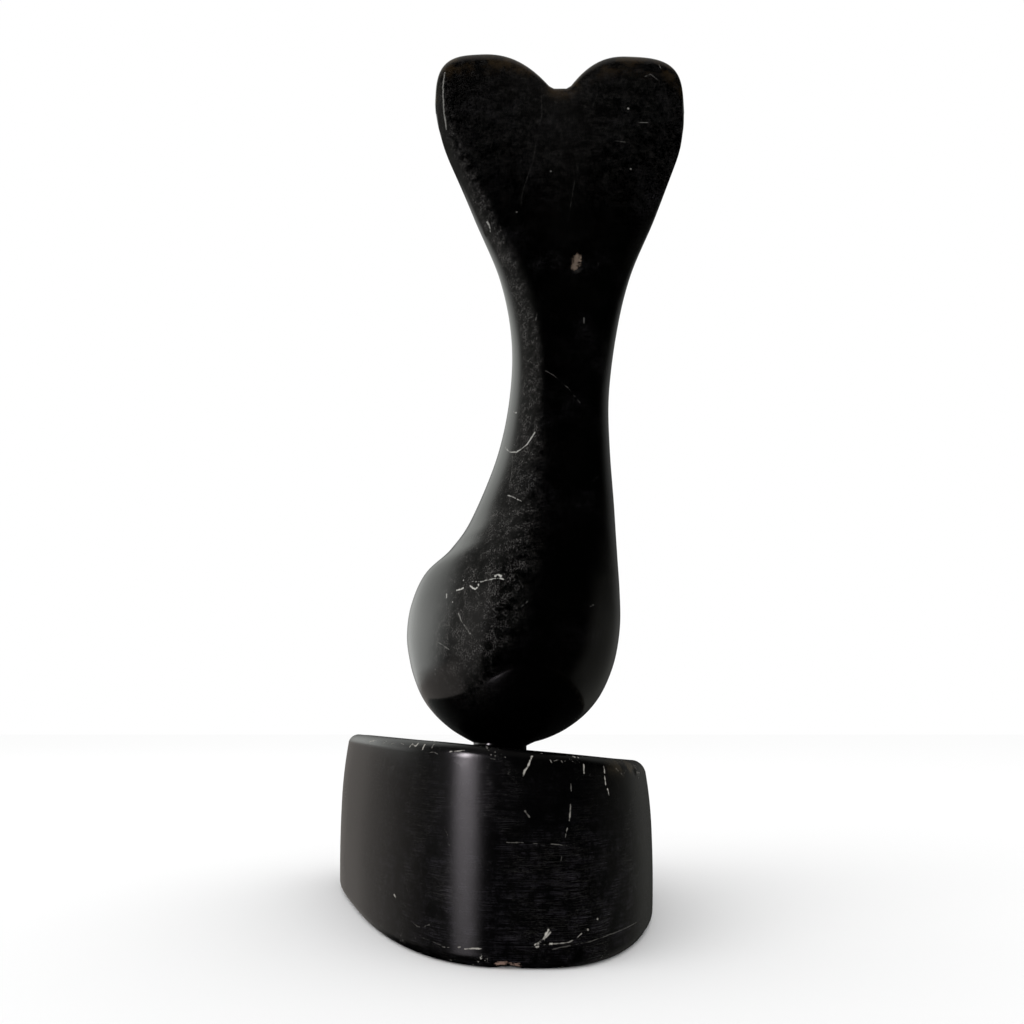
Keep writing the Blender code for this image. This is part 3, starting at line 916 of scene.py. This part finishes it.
@dataclass
class StoneBase:
    """The oval base with its flat underside, bellied side, sloping top and worn rims.

    Its sizes are the CAD part's own. The grid's numbers say how finely it is drawn.
    """

    width: float = 0.0876
    depth: float = 0.1270
    height: float = 0.0419
    fall_to_the_right_degrees: float = 5.2
    fall_to_the_back_degrees: float = 1.5
    top_inset: float = 0.0014
    foot_inset: float = 0.0010
    upper_rim_radius: float = 0.0030
    lower_edge_radius: float = 0.0022
    front_left_roundness: float = 3.3
    front_right_roundness: float = 2.25
    back_roundness: float = 2.4
    widening_to_the_back: float = 0.31
    plan_turn: float = 0.17
    widest_level: float = 0.56
    sides: int = 420
    cap_rows: int = 44
    underside_rows: int = 10
    side_rows: int = 96
    upper_rim_rows: int = 16
    lower_edge_rows: int = 9
    cutting_depth: float = 0.00013
    wave_length: float = 0.030
    wave_seed: int = 5
    uncut_below: float = 0.0004
    uncut_middle_rows: int = 6
    upper_wear_reach: float = 0.0010
    lower_wear_reach: float = 0.0012
    lower_wear: float = 0.8
    wear_on_top: float = 0.35
    wear_rows_on_top: float = 2.0

    def fall(self, x: Array | float, y: Array | float) -> Array | float:
        """How far the top falls from its middle to a place.

        Args:
            x: how far the place is to the right.
            y: how far it is to the back.

        Returns:
            The fall, as the slope across times x plus the slope in depth times y.
        """
        to_the_right = math.tan(math.radians(self.fall_to_the_right_degrees))
        to_the_back = math.tan(math.radians(self.fall_to_the_back_degrees))
        return to_the_right * x + to_the_back * y

    def outline(self, inset: Array, angles: Array) -> tuple[Array, Array]:
        """Plan of the base, an oval that widens and runs left towards the back.

        Along and across are the signed powers of sine and cosine. The half width grows with
        along, and the whole outline leans left by a share of its depth.

        Args:
            inset: how far each row stands in, as a column.
            angles: angles round the outline, as a row.

        Returns:
            The outline's x and y, with a row for each inset.
        """
        front = np.where(np.cos(angles) < 0.0, self.front_left_roundness, self.front_right_roundness)
        roundness = np.where(np.sin(angles) < 0.0, front, self.back_roundness)
        along = signed_power(np.sin(angles), 2.0 / roundness)
        across = signed_power(np.cos(angles), 2.0 / roundness)
        y = (self.depth / 2.0 - inset) * along
        half_width = (self.width / 2.0 - inset) * (1.0 + self.widening_to_the_back * along)
        return half_width * across - self.plan_turn * y, y

    def even_angles(self) -> Array:
        """Angles at even steps of length round the outline.

        Returns:
            One angle for each side.
        """
        fine = np.linspace(0.0, 2.0 * math.pi, 8001)
        path = np.stack(self.outline(np.zeros((1, 1)), fine), axis=2)[0]
        return even_places(path, self.sides + 1)[:-1] * fine[1]

    def side_inset(self, share: Array) -> Array:
        """How far the side stands in from its widest line, as a parabola above and one below.

        Args:
            share: shares of the height.

        Returns:
            One inset for each share.
        """
        below = self.foot_inset * (1.0 - share / self.widest_level) ** 2
        above = self.top_inset * ((share - self.widest_level) / (1.0 - self.widest_level)) ** 2
        return np.where(share < self.widest_level, below, above)

    def rows(self) -> Array:
        """Works out the base's surface, from the underside's middle to the top's.

        The side is the outline drawn in by its inset, at shares of the sloping height. Each rim
        is a quarter circle between the side and a flat, and each flat is the last outline
        shrunk towards its middle.

        Returns:
            The points.
        """
        angles = self.even_angles()[None, :]
        lower, upper = self.lower_edge_radius, self.upper_rim_radius
        quarter = np.linspace(0.0, 0.5 * math.pi, self.lower_edge_rows, endpoint=False)[:, None]
        foot_z = lower * (1.0 - np.cos(quarter))
        foot_inset = self.side_inset(foot_z / self.height) + lower * (1.0 - np.sin(quarter))
        foot_x, foot_y = self.outline(foot_inset, angles)
        foot = np.stack([foot_x, foot_y, np.broadcast_to(foot_z, foot_x.shape)], axis=2)

        share = np.linspace(lower / self.height, 1.0 - upper / self.height, self.side_rows)[:, None]
        side_x, side_y = self.outline(self.side_inset(share), angles)
        side = np.stack([side_x, side_y, share * self.top(side_x, side_y)], axis=2)

        quarter = np.linspace(0.0, 0.5 * math.pi, self.upper_rim_rows + 1)[1:, None]
        drop = upper * (1.0 - np.sin(quarter))
        rim_inset = self.side_inset(1.0 - drop / self.height) + upper * (1.0 - np.cos(quarter))
        rim_x, rim_y = self.outline(rim_inset, angles)
        rim = np.stack([rim_x, rim_y, self.top(rim_x, rim_y) - drop], axis=2)

        shrink = np.linspace(0.02, 1.0, self.underside_rows, endpoint=False)[:, None, None]
        underside = foot[:1] * shrink
        shrink = np.linspace(1.0, 0.012, self.cap_rows + 1)[1:, None]
        cap_x, cap_y = rim_x[-1] * shrink, rim_y[-1] * shrink
        cap = np.stack([cap_x, cap_y, self.top(cap_x, cap_y)], axis=2)
        return np.concatenate([underside, foot, side, rim, cap])

    def edge_wear(self, count: int) -> tuple[Array, Array]:
        """How worn each row is, from 0 to 1, by its closeness to the upper rim and the lower edge.

        The wear is even on each rounded edge and dies away along the side with the exponential
        of the distance. Past the rim it starts at a third and dies away in a few rows.

        Args:
            count: how many rows the surface has.

        Returns:
            The wear of the upper rim and of the lower edge, each as a column.
        """
        row = np.arange(count)[:, None]
        side_row = self.height / self.side_rows
        edge_row = self.underside_rows + self.lower_edge_rows
        rim_row = edge_row + self.side_rows
        down_the_side = np.clip((rim_row - row) * side_row, 0.0, 1.0)
        up_the_side = np.clip((row - edge_row) * side_row, 0.0, 1.0)
        past_the_rim = np.clip(row - rim_row - self.upper_rim_rows, 0, None)
        near_rim = np.exp(-down_the_side / self.upper_wear_reach)
        on_top = self.wear_on_top * np.exp(-past_the_rim / self.wear_rows_on_top)
        near_rim = np.where(past_the_rim > 0, on_top, near_rim)
        return near_rim, self.lower_wear * np.exp(-up_the_side / self.lower_wear_reach)

    @staticmethod
    def handled(rows: Array) -> Array:
        """Where handling has worn the polish off: low down and at the left, on the front only.

        Each is a smooth step in height, across or in depth. The stronger of the first two
        counts, times the third.

        Args:
            rows: grid of points.

        Returns:
            One value from 0 to 1 for each point.
        """
        x, y, z = np.moveaxis(rows, 2, 0)
        low = smooth_step(z, 0.040, 0.014)
        left = 0.6 * smooth_step(x, 0.010, -0.014)
        return np.maximum(low, left) * smooth_step(y, -0.010, -0.045)

    def top(self, x: Array | float, y: Array | float) -> Array | float:
        """Height of the sloping top above the floor."""
        return self.height - self.fall(x, y)

    def build(self, effects: SharedEffects) -> bpy.types.Object:
        """Makes the base's surface, cuts its chips and dresses it.

        Args:
            effects: the shared node groups.

        Returns:
            The piece.
        """
        rows = self.rows()
        middle_of_top = np.arange(len(rows))[:, None] > len(rows) - self.uncut_middle_rows
        cuttable = ~((rows[:, :, 2] < self.uncut_below) | middle_of_top)
        rows = hand_cut(rows, self.cutting_depth * cuttable, self.wave_length, self.wave_seed, BASE_CHIPS)
        rows[:, :, 2] = np.maximum(rows[:, :, 2], 0.0)
        near_rim, near_edge = self.edge_wear(len(rows))
        mesh = closed_surface("stone_base", rows, Ending.POLE)
        add_values(mesh, WORN_EDGE, np.broadcast_to(np.maximum(near_rim, near_edge), rows.shape[:2]))
        add_values(mesh, STAIN_AND_GLOW, smooth_step(rows[:, :, 0], 0.022, 0.034) * near_rim)
        add_values(mesh, SHEEN_AND_WEAR, self.handled(rows))
        material = BASE_STONE.material(effects, BASE_MARKS, BASE_FLAKES)
        piece = add_piece("stone_base", mesh, material)
        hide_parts("base_block")
        return piece


@dataclass
class CarvedWhale:
    """The whale: a round head that leans to the left, a tail stock and two joined flukes.

    Its sizes are the CAD part's own. The grid's numbers say how finely it is drawn.
    """

    base: StoneBase
    height: float = 0.2583
    forward: float = 0.0060
    to_the_right: float = 0.0008
    foot_gap: float = 0.0003
    foot_bedding: float = 0.0007
    left_lobe_centre: float = -0.64
    right_lobe_centre: float = 0.56
    side_level: float = 0.913
    notch_level: float = 0.930
    right_lobe_level: float = 0.995
    corner_roundness: float = 3.4
    inner_steepness: float = 2.4
    notch_half_width: float = 0.07
    spread_start: float = 0.60
    edge_rounding_start: float = 0.972
    fillet_level: float = 0.0043
    bulge_angle_degrees: float = 168.0
    bulge_sharpness: float = 3.0
    sides: int = 264
    body_rows: int = 330
    edge_rows: int = 16
    cutting_depth: float = 0.00016
    wave_length: float = 0.026
    wave_seed: int = 11
    wear_of_flukes_edge: float = 0.7
    rubbing_of_flukes: float = 0.18

    def sections(self) -> Array:
        """The carving's level sections from the foot to where the flukes' top edge rounds over.

        Returns:
            One row for each section.
        """
        return np.array((
            Section(0.0005 / self.height, -0.030, 0.030, -0.034, 0.034, 0.0, 2.2),
            Section(self.fillet_level, -0.031, 0.038, -0.036, 0.036, 0.0, 2.1),
            Section(0.0090, -0.0401, 0.0541, -0.0451, 0.0451, 0.02, 2.0),
            Section(0.0184, -0.0562, 0.0742, -0.0642, 0.0642, 0.06, 2.0),
            Section(0.0334, -0.0732, 0.0953, -0.0842, 0.0892, 0.13, 2.0, 0.0020),
            Section(0.0514, -0.0872, 0.1113, -0.1013, 0.1083, 0.20, 2.0, 0.0040),
            Section(0.0725, -0.0963, 0.1223, -0.1138, 0.1223, 0.27, 2.0, 0.0070),
            Section(0.0973, -0.1023, 0.1304, -0.1223, 0.1334, 0.32, 2.0, 0.0105),
            Section(0.1301, -0.1003, 0.1354, -0.1283, 0.1414, 0.36, 2.0, 0.0195),
            Section(0.1680, -0.0922, 0.1364, -0.1283, 0.1394, 0.36, 2.0, 0.0240),
            Section(0.2044, -0.0772, 0.1364, -0.1223, 0.1293, 0.33, 2.0, 0.0225),
            Section(0.2293, -0.0612, 0.1364, -0.1163, 0.1193, 0.30, 2.0, 0.0055),
            Section(0.2674, -0.0381, 0.1364, -0.1073, 0.1063, 0.24, 2.0),
            Section(0.3461, -0.007, 0.1354, -0.0912, 0.0872, 0.14, 2.0),
            Section(0.4294, 0.010, 0.1384, -0.0772, 0.0732, 0.06, 2.1),
            Section(0.5163, 0.012, 0.1514, -0.0652, 0.0612, 0.02, 2.1),
            Section(0.6075, -0.004, 0.1745, -0.0521, 0.0491, 0.0, 2.1),
            Section(0.7108, -0.0401, 0.2136, -0.0381, 0.0401, 0.0, 2.2),
            Section(0.8344, -0.0782, 0.2517, -0.0261, 0.0341, 0.0, 2.3),
            Section(0.9118, -0.0933, 0.2647, -0.0191, 0.0331, 0.0, 2.4),
            Section(self.edge_rounding_start, -0.1003, 0.2697, -0.014, 0.0341, 0.0, 2.5),
        ))

    def filled_sections(self) -> Array:
        """Sections at even steps along the right-hand outline, then the ones that round the edge.

        The last ones run to the tips with the sine of a quarter turn, so that the flukes' edge
        is round from front to back.

        Returns:
            One row for each section, the first of them the bedded sole.
        """
        sections = self.sections()
        fine = np.linspace(0.0, len(sections) - 1.0, 4001)
        outline = curve_at(sections, fine)[:, [0, 2]]
        places = even_places(outline, self.body_rows) * fine[1]
        body = curve_at(sections, places)
        tips = np.array(Section(1.0, -0.1013, 0.2697, -0.012, 0.0341, 0.0, 2.5))
        quarter = np.linspace(0.0, 0.5 * math.pi, self.edge_rows + 1)[1:, None]
        edge = body[-1] + (tips - body[-1]) * np.sin(quarter)
        sole = body[:1].copy()
        sole[0, 0] = -self.foot_bedding / self.height
        return np.concatenate([sole, body, edge])

    def lobe(self, across: Array, centre: float, peak: float) -> Array:
        """Top edge of one fluke: a rounded outer corner and an inner side that falls to the notch.

        Outwards of the centre the edge falls as a squared-off quarter circle to the side level.
        Inwards it falls as a power of the distance to the notch.

        Args:
            across: places across the flukes, from -1 to 1.
            centre: where the lobe is highest.
            peak: its level there, as a share of the height.

        Returns:
            The edge's level at each place.
        """
        outward = np.sign(centre) * (across - centre)
        corner = np.clip(outward / (1.0 - abs(centre)), 0.0, 1.0)
        fall = 1.0 - (1.0 - corner**self.corner_roundness) ** (1.0 / self.corner_roundness)
        inner = np.clip(-outward / (abs(centre) - self.notch_half_width), 0.0, 1.0)
        inner_fall = (peak - self.notch_level) * inner**self.inner_steepness
        return peak - (peak - self.side_level) * fall - inner_fall

    def rows(self) -> tuple[Array, Array]:
        """Works out the whale's surface in its place on the base.

        Each section is an oval: signed powers of cosine across and sine in depth, sheared back
        to the left by its turn. On the head its left side is pushed out by a power of the
        cosine of the angle from the bulge. Near the top each oval is lifted by the heart-shaped
        edge, and its thickness closes as a quarter circle. The foot follows the base's top.

        Returns:
            The points, and the level share of each row.
        """
        level, left, right, front, back, turn, fullness, bulge = self.filled_sections().T[:, :, None]
        angles = np.linspace(0.0, 2.0 * math.pi, self.sides, endpoint=False)[None, :]
        across = signed_power(np.cos(angles), 2.0 / fullness)
        depth = signed_power(np.sin(angles), 2.0 / fullness)
        aside = 0.5 * (right - left) * across
        facing = np.maximum(0.0, np.cos(angles - math.radians(self.bulge_angle_degrees)))
        push = bulge * facing**self.bulge_sharpness
        x = 0.5 * (left + right) + aside - push
        rounding = np.clip((level - self.edge_rounding_start) / (1.0 - self.edge_rounding_start), 0.0, 1.0)
        thickness = (back - front) * np.sqrt(1.0 - rounding**2)
        y = 0.5 * (front + back) + 0.5 * thickness * depth - turn * (aside - push)
        left_lobe = self.lobe(across, self.left_lobe_centre, 1.0)
        right_lobe = self.lobe(across, self.right_lobe_centre, self.right_lobe_level)
        edge = np.where(across < 0.0, left_lobe, right_lobe)
        spread = np.clip((level - self.spread_start) / (1.0 - self.spread_start), 0.0, 1.0) ** 2
        seat_share = np.clip(1.0 - level / self.fillet_level, 0.0, 1.0)
        z = level + (edge - 1.0) * spread - self.base.fall(x, y) * seat_share
        seat = self.base.top(self.to_the_right, -self.forward) + self.foot_gap
        foot = np.array([self.to_the_right, -self.forward, seat])
        return self.height * np.stack([x, y, z], axis=2) + foot, level

    def sheen_band_and_wear(self, level: Array) -> Array:
        """How strong the painted sheen is on the ridge between the whale's face and its left side: pale
        speckle in the colour, paler hairlines and a rougher polish.

        It is a flat-topped bell in the angle round each section. Its middle and half width follow
        the ridge from the head up to the left fluke. The flukes are lightly worn all over.

        Args:
            level: the level share of each row, as a column.

        Returns:
            One value from 0 to 1 for each point.
        """
        angles = np.linspace(0.0, 360.0, self.sides, endpoint=False)[None, :]
        levels, middles, halves, depths = np.array(PAINTED_SHEEN_BAND).T
        middle = np.interp(level, levels, middles)
        half = np.interp(level, levels, halves)
        ridge = np.interp(level, levels, depths) * np.exp(-(((angles - middle) / half) ** 4))
        return np.maximum(ridge, self.rubbing_of_flukes * smooth_step(level, 0.62, 0.85))

    def build(self, effects: SharedEffects) -> bpy.types.Object:
        """Makes the whale's surface, cuts its chips and dresses it.

        Args:
            effects: the shared node groups.

        Returns:
            The piece.
        """
        rows, level = self.rows()
        held = smooth_step(level, 0.012, 0.06) * smooth_step(level, 0.999, 0.965)
        rows = hand_cut(rows, self.cutting_depth * held, self.wave_length, self.wave_seed, WHALE_CHIPS)
        mesh = closed_surface("carved_whale", rows, Ending.SEAM)
        shape = rows.shape[:2]
        edge_wear = self.wear_of_flukes_edge * smooth_step(level, 0.975, 1.0)
        add_values(mesh, WORN_EDGE, np.broadcast_to(edge_wear, shape))
        # Painted glow of light through the flukes' thin top edge, in the warm colour.
        add_values(mesh, STAIN_AND_GLOW, np.broadcast_to(smooth_step(level, 0.935, 0.990), shape))
        # Painted sheen down the whale's left front, and light wear on the flukes.
        add_values(mesh, SHEEN_AND_WEAR, self.sheen_band_and_wear(level))
        material = WHALE_STONE.material(effects, WHALE_MARKS, WHALE_FLAKES)
        piece = add_piece("carved_whale", mesh, material)
        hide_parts("whale")
        return piece


# Studio


class SoftWindow(NamedTuple):
    """A soft patch of light in the surroundings, placed by direction in degrees.

    bearing: 0 behind the camera, positive to the right
    elevation: height of its middle above the horizon
    half_width, half_height: from its middle to the middle of its soft edge
    blur: width of the soft edge
    light: its brightness in red, green and blue
    """

    bearing: float
    elevation: float
    half_width: float
    half_height: float
    blur: float
    light: tuple[float, float, float]


@dataclass
class Studio:
    """A pale floor, soft light all round and the camera at the photograph's angle."""

    camera_place: Place = (0.0043, -0.2328, 0.04725)
    camera_pitch_degrees: float = 16.3
    focal_pixels: float = 740.0
    image_pixels: float = 1024.0
    sensor_millimetres: float = 36.0
    floor_half_size: float = 6.0
    floor_light: Colour = (1.08, 1.08, 1.08, 1.0)
    key_light_place: Place = (-0.8, -0.5, 1.2)
    key_light_size: float = 0.9
    key_light_power: float = 3.0
    card_middle: Place = (-0.201, -0.216, 0.090)
    card_half_width: float = 0.095
    card_half_height: float = 0.210
    card_brightness: float = 9.4
    screen_front: tuple[float, float] = (-0.190, -0.050)
    screen_back: tuple[float, float] = (-0.030, 0.180)
    screen_foot: float = -0.080
    screen_top: float = 0.060
    screen_brightness: float = 0.31
    windows: tuple[SoftWindow, ...] = (
        SoftWindow(-136.0, 4.0, 26.0, 18.0, 26.0, (0.95, 0.97, 0.94)),
        SoftWindow(-148.0, 40.0, 24.0, 14.0, 24.0, (0.76, 0.78, 0.75)),
        SoftWindow(-102.0, 38.0, 38.0, 38.0, 32.0, (0.13, 0.13, 0.12)),
        SoftWindow(-69.0, -1.0, 25.0, 20.0, 25.0, (0.26, 0.25, 0.24)),
        SoftWindow(116.0, -20.0, 42.0, 32.0, 34.0, (0.11, 0.11, 0.10)),
        SoftWindow(150.0, 33.0, 17.0, 40.0, 31.0, (0.06, 0.06, 0.06)),
        SoftWindow(178.0, 50.0, 51.0, 17.0, 38.0, (0.30, 0.31, 0.29)),
        SoftWindow(0.0, 85.0, 179.0, 22.0, 24.0, (0.20, 0.19, 0.18)),
    )

    def build_camera(self) -> None:
        """Makes the camera and gives it to the scene."""
        data = bpy.data.cameras.new("camera")
        data.sensor_width = self.sensor_millimetres
        data.sensor_fit = "HORIZONTAL"
        data.lens = self.sensor_millimetres * self.focal_pixels / self.image_pixels
        data.clip_start = 0.01
        camera = bpy.data.objects.new("camera", data)
        camera.location = self.camera_place
        camera.rotation_euler = (math.radians(90.0 + self.camera_pitch_degrees), 0.0, 0.0)
        bpy.context.scene.collection.objects.link(camera)
        bpy.context.scene.camera = camera

    def build_floor(self) -> None:
        """Makes the pale floor. The stones don't mirror it, as they stood on a dark one."""
        half = self.floor_half_size
        mesh = bpy.data.meshes.new("floor")
        corners = [(-half, -half, 0.0), (half, -half, 0.0), (half, half, 0.0), (-half, half, 0.0)]
        mesh.from_pydata(corners, [], [(0, 1, 2, 3)])
        material = bpy.data.materials.new("pale_floor")
        material.use_nodes = True
        shader = material.node_tree.nodes["Principled BSDF"]
        shader.inputs["Base Color"].default_value = (0.90, 0.90, 0.90, 1.0)
        shader.inputs["Roughness"].default_value = 0.9
        shader.inputs["Specular IOR Level"].default_value = 0.0
        floor = add_piece("floor", mesh, material)
        floor.visible_glossy = False

    @staticmethod
    def build_panel(name: str, corners: Sequence[Place]) -> tuple[bpy.types.Object, Graph, Socket, Socket]:
        """Makes a panel that shows in the stones' polish only.

        Args:
            name: name of the piece.
            corners: its corners, from the lower left round to the upper left.

        Returns:
            The panel, the empty graph of its material, and the shares across and up it.
        """
        mesh = bpy.data.meshes.new(name)
        mesh.from_pydata(corners, [], [(0, 1, 2, 3)])
        layer = mesh.uv_layers.new(name="across_and_up")
        layer.data.foreach_set("uv", [0.0, 0.0, 1.0, 0.0, 1.0, 1.0, 0.0, 1.0])
        material = bpy.data.materials.new(name)
        material.use_nodes = True
        material.node_tree.nodes.clear()
        graph = Graph(material.node_tree)
        across, up, _ = graph.parts(graph.add("ShaderNodeUVMap", uv_map="across_and_up").outputs[0])
        panel = add_piece(name, mesh, material)
        panel.visible_camera = panel.visible_diffuse = panel.visible_shadow = False
        return panel, graph, across, up

    def build_card(self, lit_piece: bpy.types.Object) -> None:
        """Stands a lit card at the left front, which the base mirrors as its upright highlight.

        The card is a plane across the direction that the base mirrors. Its light fades out
        towards its sides and foot, and it has a bright spot near its top, which the rim mirrors.

        Args:
            lit_piece: the one piece that the card lights.
        """
        middle = Vector(self.card_middle)
        aside = Vector((-0.559, 0.829, 0.0)) * self.card_half_width
        upward = Vector((0.0, 0.0, self.card_half_height))
        steps = ((-1, -1), (1, -1), (1, 1), (-1, 1))
        corners = [tuple(middle + aside * right + upward * top) for right, top in steps]
        card, graph, across, up = self.build_panel("lit_card", corners)
        sides = graph.ramp(graph.apart(across, 0.5), 0.5, 0.1)
        band = graph.times(sides, graph.ramp(up, 0.0, 0.45, 0.45, 1.0))
        near_the_spot = graph.ramp(graph.apart(across, 0.6), 0.19, 0.06)
        spot = graph.times(near_the_spot, graph.ramp(up, 0.46, 0.60, 0.0, 9.0), graph.ramp(up, 0.98, 0.80))
        brightness = graph.times(graph.total(band, spot), self.card_brightness)
        emission = graph.add("ShaderNodeEmission", (1.0, 0.93, 0.99, 1.0), brightness)
        graph.add("ShaderNodeOutputMaterial", emission.outputs[0])
        lit = bpy.data.collections.new("lit_by_the_card")
        lit.objects.link(lit_piece)
        card.light_linking.receiver_collection = lit

    def build_dim_screen(self) -> None:
        """Stands a low dim screen behind the base's left, so that its left side mirrors no window.

        The screen fades out to its ends, its top and its foot, and reaches below the floor
        because mirrored light passes through the floor.
        """
        front, back, foot, top = self.screen_front, self.screen_back, self.screen_foot, self.screen_top
        corners = [(*front, foot), (*back, foot), (*back, top), (*front, top)]
        screen, graph, across, up = self.build_panel("dim_screen", corners)
        ends = graph.ramp(graph.apart(across, 0.5), 0.5, 0.35)
        upper_edge = graph.ramp(graph.math("SUBTRACT", 1.0, up), 0.0, 0.12)
        shown = graph.times(ends, upper_edge, graph.ramp(up, 0.0, 0.4))
        clear = graph.add("ShaderNodeBsdfTransparent")
        emission = graph.add("ShaderNodeEmission", (1.0, 0.93, 0.87, 1.0), self.screen_brightness)
        mixed = graph.add("ShaderNodeMixShader", shown, clear.outputs[0], emission.outputs[0])
        graph.add("ShaderNodeOutputMaterial", mixed.outputs[0])

    def build_key_light(self) -> None:
        """Hangs a large soft light at the upper left, for the shadow on the floor."""
        data = bpy.data.lights.new("soft_key", "AREA")
        data.shape = "DISK"
        data.size = self.key_light_size
        data.energy = self.key_light_power
        light = bpy.data.objects.new("soft_key", data)
        light.location = self.key_light_place
        light.rotation_mode = "QUATERNION"
        light.rotation_quaternion = (-Vector(light.location)).to_track_quat("-Z", "Y")
        light.visible_glossy = False
        bpy.context.scene.collection.objects.link(light)

    def build_surroundings(self, effects: SharedEffects) -> None:
        """Makes the world: white to the camera, even to the floor, and soft windows to the polish.

        Args:
            effects: the shared node groups.
        """
        world = bpy.data.worlds.new("studio")
        world.use_nodes = True
        world.cycles.sampling_method = "NONE"
        world.node_tree.nodes.clear()
        graph = Graph(world.node_tree)
        direction = graph.add("ShaderNodeTexCoord").outputs["Generated"]
        glows = []
        names = ("Bearing", "Elevation", "Half_Width", "Half_Height", "Blur")
        for *degrees, light in self.windows:
            angles = {name: math.radians(angle) for name, angle in zip(names, degrees)}
            mask = graph.shared(effects.soft_window, Direction=direction, **angles)[0]
            glows.append(graph.scaled(graph.vector("ADD", light, (0.0, 0.0, 0.0)), mask))
        mirrored = reduce(lambda whole, glow: graph.vector("ADD", whole, glow), glows)
        rays = graph.add("ShaderNodeLightPath")
        seen = graph.blend(rays.outputs["Is Diffuse Ray"], mirrored, self.floor_light)
        seen = graph.blend(rays.outputs["Is Camera Ray"], seen, (1.0, 1.0, 1.0, 1.0))
        graph.add("ShaderNodeOutputWorld", graph.add("ShaderNodeBackground", seen).outputs[0])
        bpy.context.scene.world = world

    def build(self, effects: SharedEffects) -> None:
        """Makes the studio, apart from its card and screen, and sets how its light is shown.

        Args:
            effects: the shared node groups.
        """
        self.build_camera()
        self.build_floor()
        self.build_key_light()
        self.build_surroundings(effects)
        bpy.context.scene.view_settings.view_transform = "Standard"


def main() -> None:
    """Builds the studio, the base and the whale, and writes down how big the model is."""
    logging.basicConfig(level=logging.INFO, format="%(message)s")
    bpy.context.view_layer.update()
    effects = SharedEffects()
    studio = Studio()
    studio.build(effects)
    base = StoneBase()
    stone_base = base.build(effects)
    studio.build_card(stone_base)
    studio.build_dim_screen()
    for piece in (stone_base, CarvedWhale(base).build(effects)):
        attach(piece, "root")
        log.info("%s: %d faces", piece.name, len(piece.data.polygons))


if __name__ == "__main__":
    main()
